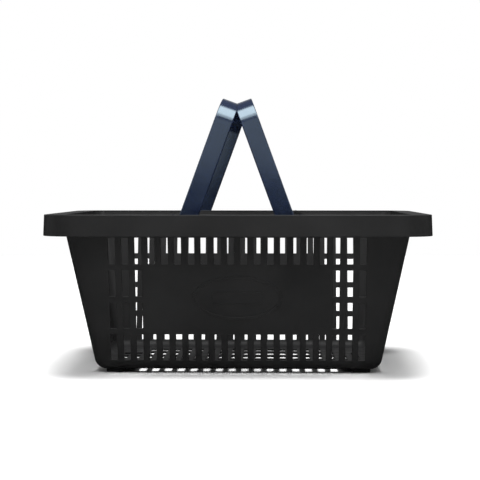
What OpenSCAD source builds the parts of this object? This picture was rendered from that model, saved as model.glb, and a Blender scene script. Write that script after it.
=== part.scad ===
// Hand-held shopping basket with two folding strap handles.
// The tapered, slotted body and its rim are one moulding, drawn here in the regions that it divides into.
// Each handle swings on two pins under the rim: it stands leaning on the other, or folds out onto the rim.
// Frame: +X along the length, -Y is the front, +Z up, origin under the middle of the basket.

/* [Rim] */
// Outer length over the lower edge of the skirt
rim_length = 432; // [410:1:460]
// Outer width over the lower edge of the skirt
rim_width = 305; // [285:1:330]
// Height of the rim's top above the surface that the basket stands on
rim_height = 180; // [175:1:200]
// Depth of the skirt, which is also the step at which baskets nest
skirt_depth = 23.5; // [23:0.5:26]
// How far the skirt leans out between its top and its lower edge
skirt_flare = 1; // [0.5:0.1:2]
// Width of the rim's flat top, from the body wall to the outer edge
shelf_width = 19; // [18:0.5:21]

/* [Body] */
// Thickness of the walls, floor, shelf and skirt
wall = 2.5; // [2:0.1:2.6]
// Slope of the walls from the vertical, in degrees
draft = 11.2; // [8:0.1:12]
// Corner radius of the body at the rim
corner_top_r = 17; // [15:1:22]
// Corner radius of the body at the floor
corner_base_r = 14; // [13.5:0.5:15]
// Outer radius of the round between the walls and the floor
base_round = 13; // [8:0.5:13]
// Height of the feet
foot_height = 4; // [3:0.5:5]
// Length of a foot's side
foot_size = 23; // [18:1:26]

/* [Slots] */
// Width of a slot in the walls and the floor
slot_width = 7.5; // [5:0.1:9]
// Distance between the middles of neighbouring slots
slot_pitch = 14.65; // [13:0.05:14.7]
// Number of slots along the front and the back
long_columns = 20; // [12:2:20]
// Number of slots along each end
end_columns = 11; // [5:1:11]
// Rows of slots up the walls
wall_rows = 4; // [2:1:4]
// Height of a slot in the walls
slot_height = 29.5; // [20:0.5:30]
// Distance between the lower edges of neighbouring rows
row_pitch = 36.5; // [32:0.5:36.5]
// Columns left open on each side of the plain panel
panel_margin = 3; // [2:1:6]
// Rows of slots across the floor
floor_rows = 5; // [3:2:5]
// Length of a slot in the floor
floor_slot = 26; // [18:1:27]

/* [Emblem] */
// Length of the blank oval on the plain panel
oval_length = 100; // [60:1:110]
// Height of the oval, measured up the wall
oval_height = 50; // [30:1:54]
// Width of the oval's raised line
oval_line = 2.6; // [1.5:0.1:4]
// How far the oval stands out of the wall
oval_relief = 0.8; // [0.4:0.1:1.2]

/* [Handles] */
// Width of the strap
strap_width = 20; // [16:0.5:20]
// Thickness of the strap
strap_thick = 4.5; // [3.5:0.1:5]
// Outer radius of the strap's two bends
bend_r = 25; // [18:1:30]
// Lean of each handle towards the other, in degrees
lean = 20.1; // [16:0.1:22]
// Depth of the pivots below the rim's top
pivot_drop = 4.4; // [4.4:0.1:4.8]
// Radius of a hinge pin
pin_r = 1.6; // [1.3:0.1:1.7]
// Radius of the eye at the end of a handle's leg
eye_r = 4.8; // [4.5:0.1:4.9]
// How far each strap's inner edge is cut back where the two handles meet
meet_cut = 3.4; // [1:0.1:5]

/* [Hidden] */

BASKET_BLACK = [0.16, 0.16, 0.17];
HANDLE_NAVY = [0.16, 0.20, 0.29];
PIN_GREY = [0.30, 0.31, 0.33];

$fn = 48;
// Steps round a quarter of a body corner, and down the round at the floor
CORNER_STEPS = 10;
ROUND_STEPS = 6;
// Sides of the oval
OVAL_SIDES = 64;
// How far a cutting solid runs past the surface that it opens
OVER = 1;
// Clear space between a leg and what it passes
PLAY = 0.5;
// Gap between a folded handle and the shelf, and between the two handles at rest
REST_GAP = 0.4;
MEET_GAP = 0.3;
// Radial clearance of a pin in the fixed brackets and in a handle's eye
FIXED_FIT = 0.02;
SWING_FIT = 0.05;

// Rim
rim_top_x = rim_length / 2 - skirt_flare;
rim_top_y = rim_width / 2 - skirt_flare;
wall_top = rim_height - wall;
skirt_bottom = rim_height - skirt_depth;

// Body: half sizes of the outer surface, extended to the rim's top
body_x = rim_top_x - shelf_width;
body_y = rim_top_y - shelf_width;
floor_bottom = foot_height;
floor_top = floor_bottom + wall;
round_z = floor_bottom + base_round;
round_d = wall_line(round_z) - base_round / cos(draft);
foot_taper = 3;
foot_corner_r = 5;

// Slots
row_base = round_z - 1.5;
floor_row_pitch = 33;
mid_column = (long_columns - 1) / 2;

// Emblem
oval_z = 87;
plate_length = 56;
plate_height = 13;

// Handles, in a leg's own directions: outwards from the pivot to the strap, and along the leg
strap_near = pivot_drop + REST_GAP;
strap_mid = strap_near + strap_width / 2;
strap_far = strap_near + strap_width;
leg_y = (body_y + rim_top_y - wall) / 2;
fold_reach = rim_top_x - wall - REST_GAP;
meet_reach = fold_reach - MEET_GAP / 2 + meet_cut;
handle_length = (meet_reach - strap_far * cos(lean)) / (1 + sin(lean));
pivot_x = fold_reach - handle_length;
pivot_z = rim_height - pivot_drop;
// Distance along the leg at which the strap's inner edge comes through the shelf
shelf_crossing = (pivot_drop + strap_far * sin(lean)) / cos(lean);
foot_top = shelf_crossing - REST_GAP;
// The foot's lower edge is tangent to a circle just inside the eye, so that it crosses the eye's own outline
foot_r = eye_r - 0.1;
foot_angle = atan2(foot_top, strap_far) - acos(foot_r / norm([strap_far, foot_top]));

// Shelf slot that a leg swings in, measured from the pivot
slot_in = strap_far * cos(lean) + shelf_crossing * sin(lean) + PLAY;
slot_out = eye_r + 2 * PLAY;
slot_half = strap_thick / 2 + PLAY;

// Hinge brackets and pins
boss_r = 8;
boss_face_y = body_y - 4.6;
lug_end_y = rim_top_y - wall - PLAY;
pin_head_r = 3;
pin_head_h = 1.5;
pin_end_y = lug_end_y - 2 * PLAY;

// Outer wall line: its offset from the body's half size at height z
function wall_line(z) = -(rim_height - z) * tan(draft);

// Corner radius of the outer wall line at height z
function corner_r(z) = corner_base_r + (corner_top_r - corner_base_r) * z / rim_height;

// Where a flat wall of a body with this half size ends and its corner begins, at height z
function flat_end(half, z) = half + wall_line(z) - corner_r(z);

// Points of an arc about the round's centre, as [offset, height]
function round_arc(r, from, to) = [
    for (i = [0 : ROUND_STEPS])
        let (a = from + (to - from) * i / ROUND_STEPS)
        [round_d + r * cos(a), round_z + r * sin(a)]
];

// Sections of the flat wall, of the round along its foot, and of both together; each runs down
// the outer face and up the inner one
outer_top = [wall_line(wall_top), wall_top];
inner_top = [wall_line(wall_top) - wall / cos(draft), wall_top];
outer_round = round_arc(base_round, -draft, -90);
inner_round = round_arc(base_round - wall, -90, -draft);
slab_section = [outer_top, outer_round[0], inner_round[ROUND_STEPS], inner_top];
edge_section = concat(outer_round, inner_round);
wall_section = concat([outer_top], edge_section, [inner_top]);

// The rim's section, a flat shelf and the skirt that hangs from its outer edge
shelf_edge = inner_top[0];
rim_section = [
    [shelf_edge, wall_top], [shelf_width - wall, wall_top],
    [shelf_width + skirt_flare - wall, skirt_bottom], [shelf_width + skirt_flare, skirt_bottom],
    [shelf_width, rim_height], [shelf_edge, rim_height]
];

// Corner points of a rounded rectangle at height z, from x0 to x1 and y0 to y1
function ring(x0, x1, y0, y1, r, z) = [
    for (q = [0 : 3]) for (i = [0 : CORNER_STEPS])
        let (
            a = 90 * (q + i / CORNER_STEPS),
            cx = (q == 0 || q == 3) ? x1 - r : x0 + r,
            cy = q < 2 ? y1 - r : y0 + r
        )
        [cx + r * cos(a), cy + r * sin(a), z]
];

// Corner points of the floor's outline at height z, where the round leaves it
function floor_ring(z) =
    let (r = round_d - wall_line(z) + corner_r(z), hx = body_x + round_d, hy = body_y + round_d)
    ring(-hx, hx, -hy, hy, r, z);

// A solid with the same outline of points at each level in turn, all of them flat; each outline runs
// clockwise as seen from outside the first one. Its ends are strips from point j to its opposite, m - 1 - j.
module stack(levels) {
    m = len(levels[0]);
    last = len(levels) - 1;
    top = last * m;
    polyhedron(
        points = [for (level = levels) for (p = level) p],
        faces = concat(
            [for (j = [0 : m / 2 - 2]) [j, j + 1, m - 2 - j, m - 1 - j]],
            [for (i = [0 : last - 1]) for (j = [0 : m - 1])
                [i * m + j, (i + 1) * m + j, (i + 1) * m + (j + 1) % m, i * m + (j + 1) % m]],
            [for (j = [0 : m / 2 - 2]) [top + m - 1 - j, top + m - 2 - j, top + j + 1, top + j]]
        )
    );
}

// Copies a piece drawn at the back right corner to the corner with these signs
module at_corner(sx, sy) {
    mirror([sx < 0 ? 1 : 0, 0, 0]) mirror([0, sy < 0 ? 1 : 0, 0]) children();
}

// A stretch of wall facing +X with this section, at this half size, between the corners of the other
module straight(section, half, across) {
    stack([for (s = [-1, 1]) [for (p = section) [half + p[0], s * flat_end(across, p[1]), p[1]]]]);
}

// Slots through a wall facing +X; the middle rows stay closed behind a plain panel if there is one
module wall_slots(half, columns, panel) {
    for (row = [0 : wall_rows - 1], column = [0 : columns - 1]) {
        at_end = row == 0 || row == wall_rows - 1;
        at_side = column < panel_margin || column >= columns - panel_margin;
        if (!panel || at_end || at_side)
            translate([
                half + round_d, (column - (columns - 1) / 2) * slot_pitch - slot_width / 2,
                row_base + row * row_pitch
            ])
                cube([-round_d + OVER, slot_width, slot_height]);
    }
}

// Outline of a hinge bracket's bosses about the pivot, cut level with the shelf's underside
module boss_outline() {
    intersection() {
        union() {
            circle(boss_r);
            translate([-boss_r, 0]) square([2 * boss_r, boss_r]);
        }
        translate([-boss_r, -boss_r]) square([2 * boss_r, boss_r + pivot_drop - wall]);
    }
}

// Stands an outline up at the back right pivot, and extrudes it from y0 to y1
module at_pivot(y0, y1) {
    translate([pivot_x, y1, pivot_z]) rotate([90, 0, 0]) linear_extrude(y1 - y0) children();
}

module floor_panel() {
    color(BASKET_BLACK)
    difference() {
        stack([floor_ring(floor_bottom), floor_ring(floor_top)]);
        for (row = [0 : floor_rows - 1], column = [0 : long_columns - 1]) {
            x = (column - mid_column) * slot_pitch;
            y = (row - (floor_rows - 1) / 2) * floor_row_pitch;
            over_foot = abs(x) > body_x + round_d - foot_size - slot_width
                && abs(y) > body_y + round_d - foot_size - floor_slot;
            if (!over_foot)
                translate([x - slot_width / 2, y - floor_slot / 2, floor_bottom - OVER])
                    cube([slot_width, floor_slot, wall + 2 * OVER]);
        }
    }
}

// Front or back wall, which has the plain panel and the holes that the hinge bosses fill
module long_wall(turn) {
    color(BASKET_BLACK)
    difference() {
        rotate([0, 0, turn]) straight(slab_section, body_y, body_x);
        rotate([0, 0, turn]) wall_slots(body_y, long_columns, true);
        for (s = [-1, 1]) at_corner(s, turn) at_pivot(boss_face_y - wall, leg_y) boss_outline();
    }
}

module end_wall(turn) {
    color(BASKET_BLACK)
    rotate([0, 0, turn])
    difference() {
        straight(slab_section, body_x, body_y);
        wall_slots(body_x, end_columns, false);
    }
}

// The round along the foot of a wall, which leads into the floor
module base_edge(turn, half, across) {
    color(BASKET_BLACK) rotate([0, 0, turn]) straight(edge_section, half, across);
}

module body_corner(sx, sy) {
    color(BASKET_BLACK)
    at_corner(sx, sy)
    stack([
        for (i = [0 : CORNER_STEPS])
            let (a = 90 * i / CORNER_STEPS)
            [for (p = wall_section)
                let (z = p[1], r = corner_r(z) + p[0] - wall_line(z))
                [flat_end(body_x, z) + r * cos(a), flat_end(body_y, z) + r * sin(a), z]]
    ]);
}

// Front or back rim, with the two slots that the handles' legs swing in
module long_rim(turn) {
    color(BASKET_BLACK)
    difference() {
        rotate([0, 0, turn]) plain_rim(body_y, flat_end(body_x, wall_top));
        for (s = [-1, 1])
            at_corner(s, turn)
            translate([pivot_x - slot_in, leg_y - slot_half, wall_top - OVER])
                cube([slot_in + slot_out, 2 * slot_half, wall + 2 * OVER]);
    }
}

module end_rim(turn) {
    color(BASKET_BLACK) rotate([0, 0, turn]) plain_rim(body_x, flat_end(body_y, wall_top));
}

// A straight rim facing +X, at this half size and with this half length
module plain_rim(half, reach) {
    translate([half, reach, 0]) rotate([90, 0, 0]) linear_extrude(2 * reach) polygon(rim_section);
}

module rim_corner(sx, sy) {
    color(BASKET_BLACK)
    at_corner(sx, sy)
    translate([flat_end(body_x, wall_top), flat_end(body_y, wall_top), 0])
    rotate_extrude(angle = 90)
        translate([body_x - flat_end(body_x, wall_top), 0]) polygon(rim_section);
}

module foot(sx, sy) {
    x1 = body_x + round_d;
    y1 = body_y + round_d;
    inner_x = x1 - foot_size;
    inner_y = y1 - foot_size;
    color(BASKET_BLACK)
    at_corner(sx, sy)
    stack([
        ring(inner_x + foot_taper, x1, inner_y + foot_taper, y1, foot_corner_r, 0),
        ring(inner_x, x1, inner_y, y1, foot_corner_r, floor_bottom)
    ]);
}

// Outline of an oval with these half sizes
function oval(a, b) = [
    for (i = [0 : OVAL_SIDES - 1])
        let (t = 360 * i / OVAL_SIDES)
        [a * cos(t), b * sin(t)]
];

// A blank raised oval with a blank plate in it, on the plain panel
module emblem(turn) {
    color(BASKET_BLACK)
    rotate([0, 0, turn])
    translate([0, -(body_y + wall_line(oval_z)), oval_z])
    rotate([90 + draft, 0, 0])
    linear_extrude(oval_relief) {
        difference() {
            polygon(oval(oval_length / 2, oval_height / 2));
            polygon(oval(oval_length / 2 - oval_line, oval_height / 2 - oval_line));
        }
        square([plate_length, plate_height], center = true);
    }
}

// Two bosses with a gap for the leg: the inner one comes through the wall and takes the pin's head
module hinge_bracket(sx, sy) {
    color(BASKET_BLACK)
    at_corner(sx, sy)
    difference() {
        union() {
            at_pivot(boss_face_y, leg_y - slot_half) boss_outline();
            at_pivot(leg_y + slot_half, lug_end_y) boss_outline();
        }
        at_pivot(boss_face_y - OVER, lug_end_y + OVER) circle(pin_r + FIXED_FIT);
        at_pivot(boss_face_y - OVER, boss_face_y + pin_head_h) circle(pin_head_r + 2 * FIXED_FIT);
    }
}

module hinge_pin(sx, sy) {
    color(PIN_GREY)
    at_corner(sx, sy) {
        at_pivot(boss_face_y, boss_face_y + pin_head_h) circle(pin_head_r);
        at_pivot(boss_face_y + pin_head_h, pin_end_y) circle(pin_r);
    }
}

// An arch of this half width and height with its two top corners rounded, standing on leg ends
module arch(half, height, r) {
    translate([-half, foot_top]) square([2 * half, height - r - foot_top]);
    translate([-(half - r), foot_top]) square([2 * (half - r), height - foot_top]);
    for (s = [-1, 1]) translate([s * (half - r), height - r]) circle(r, $fn = 96);
}

// Lower end of a leg: the eye about the pivot, and the tapered plate that joins it to the strap
module leg_foot() {
    difference() {
        union() {
            circle(eye_r);
            polygon([
                [0, 0], [0, eye_r], [strap_near, eye_r], [strap_near, foot_top], [strap_far, foot_top],
                [foot_r * cos(foot_angle), foot_r * sin(foot_angle)]
            ]);
        }
        circle(pin_r + SWING_FIT);
    }
}

// A flat strap bent into an arch, with an eye at the end of each leg and a flat where it meets the other
module handle(side) {
    outer = leg_y + strap_thick / 2;
    inner = leg_y - strap_thick / 2;
    color(HANDLE_NAVY)
    at_corner(-side, 1)
    difference() {
        translate([-pivot_x, 0, pivot_z])
        rotate([0, lean, 0]) {
            translate([strap_mid, 0, 0])
            rotate([90, 0, 90])
            linear_extrude(strap_width, center = true)
            difference() {
                arch(outer, handle_length, bend_r);
                arch(inner, handle_length - strap_thick, bend_r - strap_thick);
            }
            for (s = [-1, 1])
                translate([0, s * leg_y + strap_thick / 2, 0])
                rotate([90, 0, 0])
                linear_extrude(strap_thick) leg_foot();
        }
        translate([-MEET_GAP / 2, -rim_top_y, rim_height])
            cube([strap_width, 2 * rim_top_y, handle_length]);
    }
}

floor_panel();
long_wall(-90);  // front_wall
long_wall(90);  // back_wall
end_wall(180);  // left_wall
end_wall(0);  // right_wall
base_edge(-90, body_y, body_x);  // base_edge_front
base_edge(90, body_y, body_x);  // base_edge_back
base_edge(180, body_x, body_y);  // base_edge_left
base_edge(0, body_x, body_y);  // base_edge_right
body_corner(-1, -1);  // corner_front_left
body_corner(1, -1);  // corner_front_right
body_corner(-1, 1);  // corner_back_left
body_corner(1, 1);  // corner_back_right
long_rim(-90);  // rim_front
long_rim(90);  // rim_back
end_rim(180);  // rim_left
end_rim(0);  // rim_right
rim_corner(-1, -1);  // rim_corner_front_left
rim_corner(1, -1);  // rim_corner_front_right
rim_corner(-1, 1);  // rim_corner_back_left
rim_corner(1, 1);  // rim_corner_back_right
foot(-1, -1);  // foot_front_left
foot(1, -1);  // foot_front_right
foot(-1, 1);  // foot_back_left
foot(1, 1);  // foot_back_right
emblem(0);  // emblem_front
emblem(180);  // emblem_back
hinge_bracket(-1, -1);  // hinge_bracket_front_left
hinge_bracket(1, -1);  // hinge_bracket_front_right
hinge_bracket(-1, 1);  // hinge_bracket_back_left
hinge_bracket(1, 1);  // hinge_bracket_back_right
hinge_pin(-1, -1);  // hinge_pin_front_left
hinge_pin(1, -1);  // hinge_pin_front_right
hinge_pin(-1, 1);  // hinge_pin_back_left
hinge_pin(1, 1);  // hinge_pin_back_right
handle(-1);  // handle_left
handle(1);  // handle_right
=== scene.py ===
import math

import bmesh
import bpy
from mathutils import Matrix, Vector

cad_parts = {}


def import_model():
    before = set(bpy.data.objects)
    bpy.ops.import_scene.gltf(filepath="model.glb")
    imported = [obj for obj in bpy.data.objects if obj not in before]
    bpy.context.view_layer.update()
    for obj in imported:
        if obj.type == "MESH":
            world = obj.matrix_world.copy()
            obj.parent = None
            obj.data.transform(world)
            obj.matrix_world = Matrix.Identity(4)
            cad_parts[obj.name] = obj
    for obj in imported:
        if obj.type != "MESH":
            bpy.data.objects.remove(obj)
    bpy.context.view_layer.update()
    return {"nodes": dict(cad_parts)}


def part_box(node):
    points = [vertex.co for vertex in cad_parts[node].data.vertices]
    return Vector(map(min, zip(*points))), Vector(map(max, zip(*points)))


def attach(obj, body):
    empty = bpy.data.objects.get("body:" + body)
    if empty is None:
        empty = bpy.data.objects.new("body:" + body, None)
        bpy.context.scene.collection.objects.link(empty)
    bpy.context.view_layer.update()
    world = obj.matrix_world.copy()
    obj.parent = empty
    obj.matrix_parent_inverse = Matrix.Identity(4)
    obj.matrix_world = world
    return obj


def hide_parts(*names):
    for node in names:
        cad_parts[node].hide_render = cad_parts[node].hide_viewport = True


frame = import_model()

# Everything is in metres, in the basket's own frame: +X along its length, -Y to the front, +Z up.
MM = 0.001
QUARTER = math.pi / 2
CORNERS = ["front_left", "front_right", "back_left", "back_right"]
SIDES = ["front", "back", "left", "right"]
# Signs of x and y in the four quarters, in the order that angles grow
QUARTER_SIGNS = [(1, 1), (-1, 1), (-1, -1), (1, -1)]

# Sizes that the boxes of the CAD nodes don't give
DRAFT = math.radians(11.2)
BASE_ROUND = 13 * MM
CORNER_BASE_R = 14 * MM
SHELF_WIDTH = 19 * MM
SKIRT_FLARE = 1 * MM

# Slots in the walls, and the plain panel that long walls have between their end columns
SLOT_WIDTH = 7.5 * MM
SLOT_PITCH = 14.65 * MM
SLOT_HEIGHT = 29.5 * MM
ROW_PITCH = 36.5 * MM
ROW_RISE = 11.5 * MM
LONG_COLUMNS = 20
END_COLUMNS = 11
WALL_ROWS = 4
PANEL_MARGIN = 3

# Slots in the floor, which stay clear of the corner feet
FLOOR_ROWS = 5
FLOOR_ROW_PITCH = 33 * MM
FLOOR_SLOT = 26 * MM
FOOT_SIZE = 23 * MM

# Handles: REST_GAP is under a folded strap, MEET_GAP between the two handles at rest, and
# PIVOT_DROP the depth of the hinge axis below the rim's top
LEAN = math.radians(20.1)
STRAP_WIDTH = 20 * MM
STRAP_THICK = 4.5 * MM
STRAP_EDGE_R = 1.1 * MM
BEND_R = 25 * MM
PIVOT_DROP = 4.4 * MM
REST_GAP = 0.4 * MM
MEET_GAP = 0.3 * MM
EYE_R = 4.8 * MM
PIN_R = 1.6 * MM
PIN_PLAY = 0.05 * MM

# Feet of the handles: the foot leaves the eye at FOOT_ANGLE, and laps FOOT_LAP into the strap,
# which is a little thicker, so that no faces of the two lie in one plane
FOOT_ANGLE = math.radians(-51)
FOOT_LAP = 1.2 * MM
FOOT_THICK = STRAP_THICK - 0.2 * MM

# A leg's slot in the shelf: the play beside the leg, and how far the slot runs out past the pivot
LEG_PLAY = 0.5 * MM
SHELF_SLOT_OUT = 5.8 * MM
# The cell between two rows of the rim that the leg slots are in, the same on both sheets
SHELF_CELL = 2

# Emblem: an oval ridge of this section, and a plate in it
RIDGE_WIDTH = 2.6 * MM
RIDGE_RELIEF = 0.8 * MM
RIDGE_SINK = 0.3 * MM
OVAL_INSET = 0.2 * MM
PLATE_SIZE = (56 * MM, 13 * MM)
PLATE_CORNER_R = 2.5 * MM
PLATE_RELIEF = RIDGE_RELIEF * 0.7

# Widths of the rounded edges
MOULDING_BEVEL = 0.55 * MM
HANDLE_BEVEL = 0.5 * MM
NODE_BEVEL = 0.3 * MM
EMBLEM_BEVEL = 0.2 * MM
BEVEL_SEGMENTS = 2

# Steps along curves
CORNER_STEPS = 10
ROUND_STEPS = 6
OVAL_STEPS = 96
PLATE_STEPS = 6
STRAP_EDGE_STEPS = 4
LEG_STEPS = 12
BEND_STEPS = 16
GRIP_STEPS = 24
EYE_STEPS = 40
BORE_STEPS = 32
FLOOR_STEPS = 96

# Looks: noise mostly stays between these two, and the paler edges (rubbed wear, on the basket also a painted
# edge highlight) reach this far from an edge
NOISE_LOW = 0.3
NOISE_HIGH = 0.7
PALE_EDGE_REACH = 0.8 * MM
FLOOR_RADIUS = 2.5

# Levels and half sizes from the CAD nodes
rim_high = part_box("rim_front")[1].z
skirt_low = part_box("rim_front")[0].z
wall_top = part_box("front_wall")[1].z
wall = rim_high - wall_top
floor_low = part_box("floor_panel")[0].z
floor_half = (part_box("floor_panel")[1].x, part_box("floor_panel")[1].y)
body_half = (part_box("rim_right")[1].x - SKIRT_FLARE - SHELF_WIDTH,
             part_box("rim_back")[1].y - SKIRT_FLARE - SHELF_WIDTH)
pivot_x = (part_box("hinge_pin_front_right")[0].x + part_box("hinge_pin_front_right")[1].x) / 2
pivot_z = rim_high - PIVOT_DROP
leg_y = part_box("handle_left")[1].y - STRAP_THICK / 2
slope = math.tan(DRAFT)
top_corner_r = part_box("right_wall")[1].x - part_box("front_wall")[1].x
round_z = floor_low + BASE_ROUND
row_base = floor_low + ROW_RISE
# A leg's slot starts at the outer edge of the third wall slot from the middle, 2.5 pitches out
leg_slot = (2.5 * SLOT_PITCH + SLOT_WIDTH / 2, pivot_x + SHELF_SLOT_OUT)


# ---------------------------------------------------------------- materials

def new_material(name):
    material = bpy.data.materials.new(name)
    material.use_nodes = True
    tree = material.node_tree
    shader = tree.nodes["Principled BSDF"]
    coords = tree.nodes.new("ShaderNodeTexCoord")
    return material, tree, shader, coords


def noise(tree, coords, scale, detail=3.0, roughness=0.5, stretch=(1, 1, 1)):
    mapping = tree.nodes.new("ShaderNodeMapping")
    mapping.inputs["Scale"].default_value = stretch
    tree.links.new(coords.outputs["Object"], mapping.inputs["Vector"])
    node = tree.nodes.new("ShaderNodeTexNoise")
    node.inputs["Scale"].default_value = scale
    node.inputs["Detail"].default_value = detail
    node.inputs["Roughness"].default_value = roughness
    tree.links.new(mapping.outputs["Vector"], node.inputs["Vector"])
    return node.outputs["Fac"]


def ramp(tree, value, low, high):
    """A colour ramp between two stops, each a position and a colour."""
    node = tree.nodes.new("ShaderNodeValToRGB")
    for element, (position, colour) in zip(node.color_ramp.elements, (low, high)):
        element.position = position
        element.color = (*colour, 1)
    tree.links.new(value, node.inputs["Fac"])
    return node.outputs["Color"]


def map_range(tree, value, from_min, from_max, to_min, to_max):
    node = tree.nodes.new("ShaderNodeMapRange")
    node.inputs["From Min"].default_value = from_min
    node.inputs["From Max"].default_value = from_max
    node.inputs["To Min"].default_value = to_min
    node.inputs["To Max"].default_value = to_max
    tree.links.new(value, node.inputs["Value"])
    return node.outputs["Result"]


def spread(tree, value, low, high):
    """Noise stretched so that it mostly runs from low to high."""
    return map_range(tree, value, NOISE_LOW, NOISE_HIGH, low, high)


def paler_edges(tree, colour, coords, pale_edge_colour):
    """Mixes in a paler colour along edges, more in some places than in others. It is rubbed wear, and on the
    basket also a painted highlight along the edges.
    """
    geometry = tree.nodes.new("ShaderNodeNewGeometry")
    rounded = tree.nodes.new("ShaderNodeBevel")
    rounded.samples = 4
    rounded.inputs["Radius"].default_value = PALE_EDGE_REACH
    agreement = tree.nodes.new("ShaderNodeVectorMath")
    agreement.operation = "DOT_PRODUCT"
    tree.links.new(rounded.outputs["Normal"], agreement.inputs[0])
    tree.links.new(geometry.outputs["Normal"], agreement.inputs[1])
    # The rounded normal parts from the true one only near an edge
    edges = map_range(tree, agreement.outputs["Value"], from_min=0.99, from_max=0.85, to_min=0, to_max=1)
    amount = tree.nodes.new("ShaderNodeMath")
    amount.operation = "MULTIPLY"
    tree.links.new(edges, amount.inputs[0])
    tree.links.new(spread(tree, noise(tree, coords, 35, detail=5), 0.15, 0.9), amount.inputs[1])
    mix = tree.nodes.new("ShaderNodeMix")
    mix.data_type = "RGBA"
    tree.links.new(amount.outputs["Value"], mix.inputs["Factor"])
    # A mix of colours has its two inputs at 6 and 7, and its result at 2
    tree.links.new(colour, mix.inputs[6])
    mix.inputs[7].default_value = (*pale_edge_colour, 1)
    return mix.outputs[2]


def bump(tree, shader, layers):
    """Bumps one over another: each layer is a height, its strength and its distance."""
    last = None
    for value, strength, distance in layers:
        node = tree.nodes.new("ShaderNodeBump")
        node.inputs["Strength"].default_value = strength
        node.inputs["Distance"].default_value = distance
        tree.links.new(value, node.inputs["Height"])
        if last:
            tree.links.new(last, node.inputs["Normal"])
        last = node.outputs["Normal"]
    tree.links.new(last, shader.inputs["Normal"])


def basket_plastic():
    """Black polypropylene: a fine spark-eroded grain, slow mould ripple, edges paled partly by rubbing and
    partly by a painted highlight.
    """
    material, tree, shader, coords = new_material("basket_black")
    patches = noise(tree, coords, 14, detail=4, roughness=0.55)
    colour = ramp(tree, patches, (0.30, (0.0125, 0.0125, 0.0128)), (0.72, (0.0180, 0.0180, 0.0184)))
    # Paler edges: partly rubbed wear, partly a painted highlight along every edge that stands in for an edge
    # glint
    tree.links.new(paler_edges(tree, colour, coords, (0.030, 0.030, 0.031)), shader.inputs["Base Color"])
    tree.links.new(spread(tree, noise(tree, coords, 60, detail=5), 0.40, 0.56), shader.inputs["Roughness"])
    shader.inputs["Specular IOR Level"].default_value = 0.32
    ripple = noise(tree, coords, 45, detail=2)
    grain = noise(tree, coords, 1300, detail=3, roughness=0.65)
    bump(tree, shader, [(ripple, 0.12, 0.4 * MM), (grain, 0.6, 0.12 * MM)])
    return material


def handle_plastic():
    """Navy nylon with a hard shine: flow marks along the strap, fine scuffs, rubbed edges."""
    material, tree, shader, coords = new_material("handle_navy")
    patches = noise(tree, coords, 22, detail=4)
    colour = ramp(tree, patches, (0.30, (0.006, 0.011, 0.036)), (0.72, (0.010, 0.017, 0.048)))
    tree.links.new(paler_edges(tree, colour, coords, (0.030, 0.040, 0.075)), shader.inputs["Base Color"])
    tree.links.new(spread(tree, noise(tree, coords, 90, detail=5), 0.15, 0.23), shader.inputs["Roughness"])
    shader.inputs["Specular IOR Level"].default_value = 1.0
    shader.inputs["IOR"].default_value = 1.8
    shader.inputs["Specular Tint"].default_value = (0.66, 0.88, 1.0, 1)
    shader.inputs["Coat Weight"].default_value = 0.8
    shader.inputs["Coat Roughness"].default_value = 0.14
    flow = noise(tree, coords, 60, detail=3, stretch=(1, 1, 0.15))
    grain = noise(tree, coords, 1900, detail=2)
    bump(tree, shader, [(flow, 0.10, 0.3 * MM), (grain, 0.05, 0.03 * MM)])
    return material


def pin_plastic():
    """Smooth black pegs, faintly mottled."""
    material, tree, shader, coords = new_material("hinge_pin")
    patches = noise(tree, coords, 300)
    colour = ramp(tree, patches, (NOISE_LOW, (0.010, 0.010, 0.011)), (NOISE_HIGH, (0.018, 0.018, 0.019)))
    tree.links.new(colour, shader.inputs["Base Color"])
    tree.links.new(spread(tree, noise(tree, coords, 500), 0.25, 0.40), shader.inputs["Roughness"])
    bump(tree, shader, [(noise(tree, coords, 2200), 0.15, 0.03 * MM)])
    return material


def dress(obj, material):
    obj.data.materials.clear()
    obj.data.materials.append(material)


# ---------------------------------------------------------------- object and mesh helpers

def add_object(name, data):
    obj = bpy.data.objects.new(name, data)
    bpy.context.scene.collection.objects.link(obj)
    return obj


def add_mesh(name, bm, material):
    mesh = bpy.data.meshes.new(name)
    bm.to_mesh(mesh)
    bm.free()
    obj = add_object(name, mesh)
    dress(obj, material)
    return obj


def finish_mesh(name, bm, material, bevel, edge_angle=35):
    """Turns a bmesh into an object with smooth faces and rounded edges."""
    bmesh.ops.recalc_face_normals(bm, faces=bm.faces)
    obj = add_mesh(name, bm, material)
    obj.data.polygons.foreach_set("use_smooth", [True] * len(obj.data.polygons))
    round_edges(obj, bevel, edge_angle)
    return obj


def round_edges(obj, width, edge_angle=35):
    """Rounds the edges that turn by more than this many degrees."""
    modifier = obj.modifiers.new("rounded_edges", "BEVEL")
    modifier.width = width
    modifier.segments = BEVEL_SEGMENTS
    modifier.limit_method = "ANGLE"
    modifier.angle_limit = math.radians(edge_angle)
    modifier.miter_outer = "MITER_ARC"
    modifier.harden_normals = True
    weighted = obj.modifiers.new("weighted_normals", "WEIGHTED_NORMAL")
    weighted.keep_sharp = True


def arc(radius, start, end, steps):
    """Points along an arc about (0, 0), with both ends."""
    angles = [start + (end - start) * i / steps for i in range(steps + 1)]
    return [(radius * math.cos(a), radius * math.sin(a)) for a in angles]


def rounded_bar(width, thick, radius, steps):
    """A rectangle with rounded corners, as (across, up) points."""
    points = []
    for quarter, (sx, sy) in enumerate(QUARTER_SIGNS):
        for i in range(steps + 1):
            t = QUARTER * (quarter + i / steps)
            points.append((sx * (width / 2 - radius) + radius * math.cos(t),
                           sy * (thick / 2 - radius) + radius * math.sin(t)))
    return points


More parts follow.
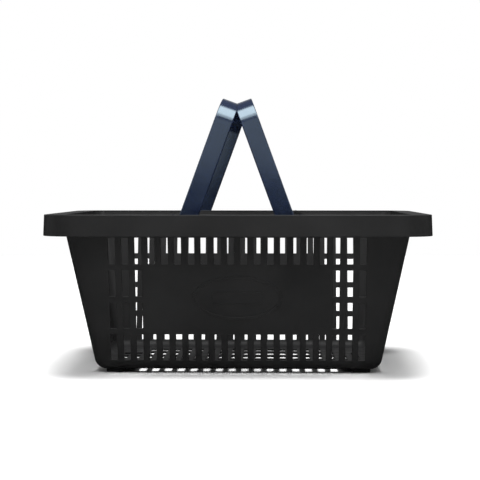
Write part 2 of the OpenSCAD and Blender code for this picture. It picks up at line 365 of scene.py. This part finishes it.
def swept(bm, path, section, closed=False):
    """Joins rings of points: path gives (origin, across, up) for each ring, section gives 2D points."""
    rings = [[bm.verts.new(o + u * a + v * b) for a, b in section] for o, u, v in path]
    m = len(section)
    count = len(rings) if closed else len(rings) - 1
    for i in range(count):
        p, q = rings[i], rings[(i + 1) % len(rings)]
        for k in range(m):
            bm.faces.new((p[k], p[(k + 1) % m], q[(k + 1) % m], q[k]))
    if not closed:
        bm.faces.new(rings[0])
        bm.faces.new(rings[-1][::-1])


# ---------------------------------------------------------------- rows, columns and slots of the moulding

def corner_r(z):
    return CORNER_BASE_R + (top_corner_r - CORNER_BASE_R) * z / wall_top


def wall_line(z):
    """How far out the outer wall line is at height z. It counts from the rim's top, so it is negative."""
    return -(rim_high - z) * slope


def body_row(z, inset):
    """A row round the body at height z, this far inside the outer wall line."""
    offset = wall_line(z) - inset
    radius = corner_r(z)
    return {"z": z, "half": [h + offset for h in body_half],
            "flat": [h + wall_line(z) - radius for h in body_half]}


def rim_row(z, out):
    """A row round the rim at height z, this far outside the body's edge."""
    flat = body_row(wall_top, 0)["flat"]
    return {"z": z, "half": [h + out for h in body_half], "flat": flat}


def round_rows(radius):
    """Rows down the round between the wall and the floor, about the round's axis."""
    axis = wall_line(round_z) - BASE_ROUND / math.cos(DRAFT)
    rows = []
    for i in range(ROUND_STEPS + 1):
        angle = -DRAFT + (DRAFT - QUARTER) * i / ROUND_STEPS
        z = round_z + radius * math.sin(angle)
        rows.append(body_row(z, wall_line(z) - axis - radius * math.cos(angle)))
    return rows


def slot_rows():
    """Heights of the upper and lower edges of the wall slots, from the top down."""
    heights = []
    for row in reversed(range(WALL_ROWS)):
        low = row_base + row * ROW_PITCH
        heights += [low + SLOT_HEIGHT, low]
    return heights


def spaced_lines(count, pitch, width):
    """Both edges of each of this many slots, spaced evenly about 0."""
    lines = []
    for slot in range(count):
        middle = (slot - (count - 1) / 2) * pitch
        lines += [middle - width / 2, middle + width / 2]
    return lines


def in_column(t, columns):
    """The column of slots that the place t along a side is in, or None between columns."""
    column = round(t / SLOT_PITCH + (columns - 1) / 2)
    near = abs(t - (column - (columns - 1) / 2) * SLOT_PITCH) < SLOT_WIDTH / 2
    return column if near and 0 <= column < columns else None


def wall_hole(side, t, z):
    """True where a wall is open: t runs along the wall."""
    long_side = side % 2 == 1
    columns = LONG_COLUMNS if long_side else END_COLUMNS
    column = in_column(t, columns)
    row = math.floor((z - row_base) / ROW_PITCH)
    if column is None or not 0 <= row < WALL_ROWS or z - row_base - row * ROW_PITCH > SLOT_HEIGHT:
        return False
    at_side = column < PANEL_MARGIN or column >= columns - PANEL_MARGIN
    return not long_side or row in (0, WALL_ROWS - 1) or at_side


def shelf_hole(side, t):
    """True where the shelf is open for a handle's leg."""
    return side % 2 == 1 and leg_slot[0] < abs(t) < leg_slot[1]


def floor_hole(x, y):
    """True where the floor is open."""
    foot_x = floor_half[0] - FOOT_SIZE - SLOT_WIDTH
    foot_y = floor_half[1] - FOOT_SIZE - FLOOR_SLOT
    over_foot = abs(x) > foot_x and abs(y) > foot_y
    if in_column(x, LONG_COLUMNS) is None or over_foot:
        return False
    row = round(y / FLOOR_ROW_PITCH)
    return abs(row) <= FLOOR_ROWS // 2 and abs(y - row * FLOOR_ROW_PITCH) < FLOOR_SLOT / 2


def columns_round(long_lines, end_lines):
    """Columns round the basket, each with a side: 0 right, 1 back, 2 left, 3 front.
    A flat one has its place along that side, and a corner one its angle past that side."""
    columns = []
    for side in range(4):
        lines = long_lines if side % 2 else end_lines
        if side in (1, 2):
            lines = lines[::-1]
        columns += [("flat", side, t) for t in lines]
        columns += [("corner", side, QUARTER * i / CORNER_STEPS) for i in range(CORNER_STEPS + 1)]
    return columns


def column_point(row, column):
    """Where a column meets a row."""
    kind, side, t = column
    if kind == "flat":
        hx, hy = row["half"]
        return Vector([(hx, t), (t, hy), (-hx, t), (t, -hy)][side] + (row["z"],))
    angle = QUARTER * side + t
    centre = [s * f for s, f in zip(QUARTER_SIGNS[side], row["flat"])]
    radius = row["half"][0] - row["flat"][0]
    return Vector((centre[0] + radius * math.cos(angle), centre[1] + radius * math.sin(angle), row["z"]))


def sheet_rows(heights):
    """Rows of the moulding's two sheets, first those of the rim and then those of the body.
    The under sheet goes up inside the skirt, in under the shelf and down the outside of the walls.
    The upper sheet goes up the skirt's face, in over the shelf and down the inside of the walls."""
    slot_near = leg_y - STRAP_THICK / 2 - LEG_PLAY - body_half[1]
    slot_far = leg_y + STRAP_THICK / 2 + LEG_PLAY - body_half[1]
    thick = wall / math.cos(DRAFT)
    inner_edge = body_half[0] - body_row(wall_top, thick)["half"][0]
    rim = {
        "under": [rim_row(skirt_low, SHELF_WIDTH + SKIRT_FLARE - wall),
                  rim_row(wall_top, SHELF_WIDTH - wall), rim_row(wall_top, slot_far),
                  rim_row(wall_top, slot_near), body_row(wall_top, 0)],
        "upper": [rim_row(skirt_low, SHELF_WIDTH + SKIRT_FLARE), rim_row(rim_high, SHELF_WIDTH),
                  rim_row(rim_high, slot_far), rim_row(rim_high, slot_near),
                  rim_row(rim_high, -inner_edge), body_row(wall_top, thick)],
    }
    body = {
        "under": [body_row(z, 0) for z in heights] + round_rows(BASE_ROUND),
        "upper": [body_row(z, thick) for z in heights] + round_rows(BASE_ROUND - wall),
    }
    return rim, body


# ---------------------------------------------------------------- the moulded basket

def moulding():
    """Walls, floor, corners and rim as one closed mesh of two sheets, joined round every opening."""
    slots = spaced_lines(LONG_COLUMNS, SLOT_PITCH, SLOT_WIDTH)
    long_lines = sorted(slots + [-leg_slot[1], leg_slot[1]])
    end_lines = sorted(spaced_lines(END_COLUMNS, SLOT_PITCH, SLOT_WIDTH)
                       + spaced_lines(FLOOR_ROWS, FLOOR_ROW_PITCH, FLOOR_SLOT))
    columns = columns_round(long_lines, end_lines)
    column_at = {column: i for i, column in enumerate(columns)}
    n = len(columns)
    heights = slot_rows()
    rim, body = sheet_rows(heights)
    first_wall = {name: len(rows) for name, rows in rim.items()}
    sheets = {name: rim[name] + body[name] for name in rim}

    bm = bmesh.new()
    verts = {name: [[bm.verts.new(column_point(row, column)) for column in columns] for row in rows]
             for name, rows in sheets.items()}

    def face(*corners):
        bm.faces.new(corners)

    def middle(c):
        """The side and the place along it of the middle of a column's cell, or None round a corner."""
        a, b = columns[c], columns[(c + 1) % n]
        return (a[1], (a[2] + b[2]) / 2) if a[0] == b[0] == "flat" and a[1] == b[1] else None

    def is_hole(kind, index, c):
        """kind is shelf or wall; index is the wall cell, counted from the first slot edge."""
        place = middle(c)
        if place is None:
            return False
        if kind == "shelf":
            return shelf_hole(*place)
        if not 0 <= index < len(heights) - 1:
            return False
        return wall_hole(*place, (heights[index] + heights[index + 1]) / 2)

    def cell_hole(name, r, c):
        if r == SHELF_CELL:
            return is_hole("shelf", 0, c)
        return is_hole("wall", r - first_wall[name], c)

    for name, rows in sheets.items():
        grid = verts[name]
        for r in range(len(rows) - 1):
            for c in range(n):
                if not cell_hole(name, r, c):
                    d = (c + 1) % n
                    face(grid[r][c], grid[r][d], grid[r + 1][d], grid[r + 1][c])

    # Lower edge of the skirt
    a, b = verts["under"], verts["upper"]
    for c in range(n):
        d = (c + 1) % n
        face(a[0][c], a[0][d], b[0][d], b[0][c])

    # Sides of each slot in the shelf and the walls, between the two sheets
    pairs = [("shelf", 0, SHELF_CELL, SHELF_CELL)]
    pairs += [("wall", i, first_wall["under"] + i, first_wall["upper"] + i) for i in range(len(heights) - 1)]
    for kind, index, ru, rv in pairs:
        for c in range(n):
            if not is_hole(kind, index, c):
                continue
            d = (c + 1) % n
            face(a[ru][c], a[ru][d], b[rv][d], b[rv][c])
            face(a[ru + 1][c], a[ru + 1][d], b[rv + 1][d], b[rv + 1][c])
            if not is_hole(kind, index, (c - 1) % n):
                face(a[ru][c], a[ru + 1][c], b[rv + 1][c], b[rv][c])
            if not is_hole(kind, index, d):
                face(a[ru][d], a[ru + 1][d], b[rv + 1][d], b[rv][d])

    # The floor, a grid whose border is the last row of each sheet
    def border(side, t, end):
        """The column where a line of the floor meets a side. Its end lines meet the corners' edges."""
        if abs(t) != end:
            return column_at["flat", side, t]
        if (t > 0) == (side in (0, 3)):
            return column_at["corner", side, 0.0]
        return column_at["corner", (side - 1) % 4, QUARTER]

    grids = {}
    for name, rows in sheets.items():
        ring = verts[name][-1]
        end_x, end_y = rows[-1]["flat"]
        xs = ["low", -end_x] + long_lines + [end_x, "high"]
        ys = ["low", -end_y] + end_lines + [end_y, "high"]
        grid = {}
        for i, x in enumerate(xs):
            for j, y in enumerate(ys):
                edge_x, edge_y = isinstance(x, str), isinstance(y, str)
                if edge_x and edge_y:
                    continue
                if edge_x:
                    grid[i, j] = ring[border(0 if x == "high" else 2, y, end_y)]
                elif edge_y:
                    grid[i, j] = ring[border(1 if y == "high" else 3, x, end_x)]
                else:
                    grid[i, j] = bm.verts.new((x, y, rows[-1]["z"]))
        grids[name] = (xs, ys, grid)
        # A fan of triangles closes each corner
        last_i, last_j = len(xs) - 2, len(ys) - 2
        for side, at in enumerate([(last_i, last_j), (1, last_j), (1, 1), (last_i, 1)]):
            first = column_at["corner", side, 0.0]
            for k in range(CORNER_STEPS):
                face(grid[at], ring[first + k], ring[first + k + 1])

    xs, ys, under_grid = grids["under"]
    upper_grid = grids["upper"][2]

    def open_cell(i, j):
        if not (1 <= i < len(xs) - 2 and 1 <= j < len(ys) - 2):
            return False
        return floor_hole((xs[i] + xs[i + 1]) / 2, (ys[j] + ys[j + 1]) / 2)

    # The neighbour of a cell on each side, and the ends of the edge between them
    neighbours = {(-1, 0): ((0, 0), (0, 1)), (1, 0): ((1, 0), (1, 1)),
                  (0, -1): ((0, 0), (1, 0)), (0, 1): ((0, 1), (1, 1))}
    for i in range(len(xs) - 1):
        for j in range(len(ys) - 1):
            if i in (0, len(xs) - 2) and j in (0, len(ys) - 2):
                continue
            if not open_cell(i, j):
                for g in (under_grid, upper_grid):
                    face(g[i, j], g[i + 1, j], g[i + 1, j + 1], g[i, j + 1])
                continue
            for (di, dj), (p, q) in neighbours.items():
                if not open_cell(i + di, j + dj):
                    u, v = (i + p[0], j + p[1]), (i + q[0], j + q[1])
                    face(under_grid[u], under_grid[v], upper_grid[v], upper_grid[u])

    loose = [v for v in bm.verts if not v.link_faces]
    bmesh.ops.delete(bm, geom=loose, context="VERTS")
    return finish_mesh("basket_moulding", bm, BLACK, MOULDING_BEVEL)


# ---------------------------------------------------------------- emblem and handles

def emblem(name, node, sign):
    """A blank oval ridge with a blank raised plate in it, on a long wall."""
    lo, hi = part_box("emblem_front")
    height = (hi.z - lo.z) / math.cos(DRAFT)
    centre_z = (lo.z + hi.z) / 2
    half_a, half_b = (hi.x - lo.x) / 2, height / 2 - OVAL_INSET
    origin = Vector((0, sign * (body_half[1] + wall_line(centre_z)), centre_z))
    out = Vector((0, sign * math.cos(DRAFT), -math.sin(DRAFT)))
    along = Vector((-sign, 0, 0))
    up = out.cross(along)
    bm = bmesh.new()
    shoulder = RIDGE_RELIEF * 0.6
    section = [(0, -RIDGE_SINK), (0, shoulder), (RIDGE_WIDTH * 0.2, RIDGE_RELIEF),
               (RIDGE_WIDTH * 0.8, RIDGE_RELIEF), (RIDGE_WIDTH, shoulder), (RIDGE_WIDTH, -RIDGE_SINK)]
    path = []
    for i in range(OVAL_STEPS):
        t = 2 * math.pi * i / OVAL_STEPS
        spot = along * half_a * math.cos(t) + up * half_b * math.sin(t)
        inward = -(along * math.cos(t) / half_a + up * math.sin(t) / half_b).normalized()
        path.append((origin + spot, inward, out))
    swept(bm, path, section, closed=True)
    plate = rounded_bar(*PLATE_SIZE, PLATE_CORNER_R, PLATE_STEPS)
    swept(bm, [(origin - out * RIDGE_SINK, along, up), (origin + out * PLATE_RELIEF, along, up)], plate)
    piece = finish_mesh(name, bm, BLACK, EMBLEM_BEVEL)
    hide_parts(node)
    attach(piece, "basket")


def handle(name, side):
    """A flat strap bent into an arch, with an eye on a tapered foot at the end of each leg."""
    pivot = Vector((side * pivot_x, 0, pivot_z))
    inward = Vector((-side * math.cos(LEAN), 0, -math.sin(LEAN)))
    along = Vector((-side * math.sin(LEAN), 0, math.cos(LEAN)))
    across = Vector((0, 1, 0))
    strap_near = PIVOT_DROP + REST_GAP
    strap_far = strap_near + STRAP_WIDTH
    strap_mid = (strap_near + strap_far) / 2
    # The strap's highest corner gives its length along the leg
    length = (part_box(name)[1].z - pivot_z + strap_near * math.sin(LEAN)) / math.cos(LEAN)
    crossing = (PIVOT_DROP + strap_far * math.sin(LEAN)) / math.cos(LEAN)
    foot_top = crossing - REST_GAP
    bm = bmesh.new()

    # Middles of the strap's rings, as y, distance along the leg, and angle of the strap's face
    radius = BEND_R - STRAP_THICK / 2
    centre_u = length - BEND_R
    centre_y = leg_y - radius
    start = (foot_top + EYE_R) / 2
    spots = [(-leg_y, start + (centre_u - start) * i / LEG_STEPS, 0.0) for i in range(LEG_STEPS)]
    spots += [(-centre_y - radius * math.cos(a), centre_u + radius * math.sin(a), a)
              for a in [QUARTER * i / BEND_STEPS for i in range(BEND_STEPS + 1)]]
    first_half = list(spots)
    spots += [(-centre_y + 2 * centre_y * i / GRIP_STEPS, centre_u + radius, QUARTER)
              for i in range(1, GRIP_STEPS)]
    spots += [(-y, u, math.pi - a) for y, u, a in reversed(first_half)]
    # The strap starts on a slant, from the eye's top at its near edge to the foot's top at its far edge
    slant = (foot_top - EYE_R) / STRAP_WIDTH
    path = []
    for i, (y, u, a) in enumerate(spots):
        origin = pivot + inward * strap_mid + along * u + across * y
        out = (-across * math.cos(a) + along * math.sin(a)).normalized()
        width_way = inward + along * slant if i in (0, len(spots) - 1) else inward
        path.append((origin, width_way, out))
    swept(bm, path, rounded_bar(STRAP_WIDTH, STRAP_THICK, STRAP_EDGE_R, STRAP_EDGE_STEPS))

    # The flat where the two handles meet
    everything = bm.verts[:] + bm.edges[:] + bm.faces[:]
    cut = bmesh.ops.bisect_plane(bm, geom=everything, dist=1e-6, clear_outer=True,
                                 plane_co=(side * MEET_GAP / 2, 0, 0), plane_no=(-side, 0, 0))
    bmesh.ops.holes_fill(bm, edges=[e for e in cut["geom_cut"] if isinstance(e, bmesh.types.BMEdge)])

    # A foot on each leg: the outline laps into the strap and runs round the eye
    strap_end = [(strap_near, EYE_R), (strap_near, EYE_R + FOOT_LAP), (strap_far, foot_top + FOOT_LAP)]
    outline = strap_end + arc(EYE_R, FOOT_ANGLE, -1.5 * math.pi, EYE_STEPS)
    bore = arc(PIN_R + PIN_PLAY, 0, 2 * math.pi, BORE_STEPS)[:-1]
    for s in (-1, 1):
        faces = []
        for y in (s * leg_y - FOOT_THICK / 2, s * leg_y + FOOT_THICK / 2):
            loops = []
            edges = []
            for points in (outline, bore):
                loop = [bm.verts.new(pivot + inward * a + along * b + across * y) for a, b in points]
                edges += [bm.edges.new((p, q)) for p, q in zip(loop, loop[1:] + loop[:1])]
                loops.append(loop)
            bmesh.ops.triangle_fill(bm, use_beauty=True, edges=edges)
            faces.append(loops)
        for near, far in zip(*faces):
            for k in range(len(near)):
                d = (k + 1) % len(near)
                bm.faces.new((near[k], near[d], far[d], far[k]))
    piece = finish_mesh(name + "_strap", bm, NAVY, HANDLE_BEVEL, edge_angle=40)
    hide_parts(name)
    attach(piece, name)


# ---------------------------------------------------------------- build

BLACK = basket_plastic()
NAVY = handle_plastic()
PEG = pin_plastic()

basket = moulding()
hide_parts("floor_panel", *[s + "_wall" for s in SIDES], *["base_edge_" + s for s in SIDES],
            *["corner_" + c for c in CORNERS], *["rim_" + s for s in SIDES],
            *["rim_corner_" + c for c in CORNERS])
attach(basket, "basket")
emblem("emblem_front_oval", "emblem_front", -1)
emblem("emblem_back_oval", "emblem_back", 1)
handle("handle_left", -1)
handle("handle_right", 1)
for corner in CORNERS:
    for kind, material in (("foot_", BLACK), ("hinge_bracket_", BLACK), ("hinge_pin_", PEG)):
        node = frame["nodes"][kind + corner]
        dress(node, material)
        round_edges(node, NODE_BEVEL)


# ---------------------------------------------------------------- stage, light and camera

def point_at(obj, location, target):
    obj.location = location
    obj.rotation_euler = (Vector(target) - Vector(location)).to_track_quat("-Z", "Y").to_euler()


def floor():
    """A plain pale disc."""
    material, tree, shader, coords = new_material("studio_floor")
    patches = noise(tree, coords, 3)
    tint = ramp(tree, patches, (NOISE_LOW, (0.90, 0.90, 0.90)), (NOISE_HIGH, (0.93, 0.93, 0.93)))
    tree.links.new(tint, shader.inputs["Base Color"])
    shader.inputs["Roughness"].default_value = 0.9
    shader.inputs["Specular IOR Level"].default_value = 0.1
    bm = bmesh.new()
    bmesh.ops.create_circle(bm, cap_ends=True, segments=FLOOR_STEPS, radius=FLOOR_RADIUS)
    obj = add_mesh("studio_floor", bm, material)
    obj.visible_glossy = False


def softbox(name, location, target, size, radiance):
    """A rectangular light of this size that looks this bright from in front."""
    data = bpy.data.lights.new(name, "AREA")
    data.shape = "RECTANGLE"
    data.size, data.size_y = size
    data.energy = radiance * math.pi * size[0] * size[1]
    obj = add_object(name, data)
    obj.visible_camera = False
    point_at(obj, location, target)


def sky(strength, width):
    """Even light from straight above, as wide as this many degrees, so the floor is white to its edge.
    It isn't mirrored in glossy surfaces."""
    data = bpy.data.lights.new("sky", "SUN")
    data.energy = strength
    data.angle = math.radians(width)
    obj = add_object("sky", data)
    obj.visible_glossy = False


def camera(location, target, lens):
    data = bpy.data.cameras.new("camera")
    data.lens = lens
    data.sensor_width = 36
    obj = add_object("camera", data)
    point_at(obj, location, target)
    bpy.context.scene.camera = obj


def world():
    """White where the camera sees it; elsewhere a dim room, darker below than above."""
    scene_world = bpy.data.worlds.new("studio")
    scene_world.use_nodes = True
    tree = scene_world.node_tree
    room = tree.nodes["Background"]
    room.inputs["Color"].default_value = (1, 1, 1, 1)
    coords = tree.nodes.new("ShaderNodeTexCoord")
    split = tree.nodes.new("ShaderNodeSeparateXYZ")
    tree.links.new(coords.outputs["Generated"], split.inputs["Vector"])
    lift = map_range(tree, split.outputs["Z"], from_min=0.06, from_max=0.6, to_min=0.015, to_max=0.14)
    tree.links.new(lift, room.inputs["Strength"])
    white = tree.nodes.new("ShaderNodeBackground")
    white.inputs["Color"].default_value = (1, 1, 1, 1)
    path = tree.nodes.new("ShaderNodeLightPath")
    mix = tree.nodes.new("ShaderNodeMixShader")
    tree.links.new(path.outputs["Is Camera Ray"], mix.inputs[0])
    tree.links.new(room.outputs["Background"], mix.inputs[1])
    tree.links.new(white.outputs["Background"], mix.inputs[2])
    tree.links.new(mix.outputs["Shader"], tree.nodes["World Output"].inputs["Surface"])
    bpy.context.scene.world = scene_world


floor()
world()
camera(location=(0.040, -1.55, 0.209), target=(0, 0, 0.147), lens=97)
sky(strength=3.6, width=24)
# key_middle stands just behind key, because two lights in one plane hide each other
softbox("key", (0, -0.464, 0.858), (0, 0.352, 0.348), size=(0.9, 0.80), radiance=1.7)
softbox("key_middle", (0, -0.476, 0.866), (0, 0.340, 0.356), size=(0.8, 0.56), radiance=2.0)
softbox("front", (0, -0.80, 0.33), (0, 0, 0.33), size=(1.0, 0.19), radiance=0.34)
softbox("left", (-2.0, 0.3, 1.0), (0, 0, 0.15), size=(1.4, 1.4), radiance=0.6)
softbox("right", (2.0, 0.3, 1.0), (0, 0, 0.15), size=(1.4, 1.4), radiance=0.6)
softbox("back", (0, 2.2, 1.2), (0, 0, 0.15), size=(2.0, 1.4), radiance=0.25)
bpy.context.scene.view_settings.view_transform = "Standard"
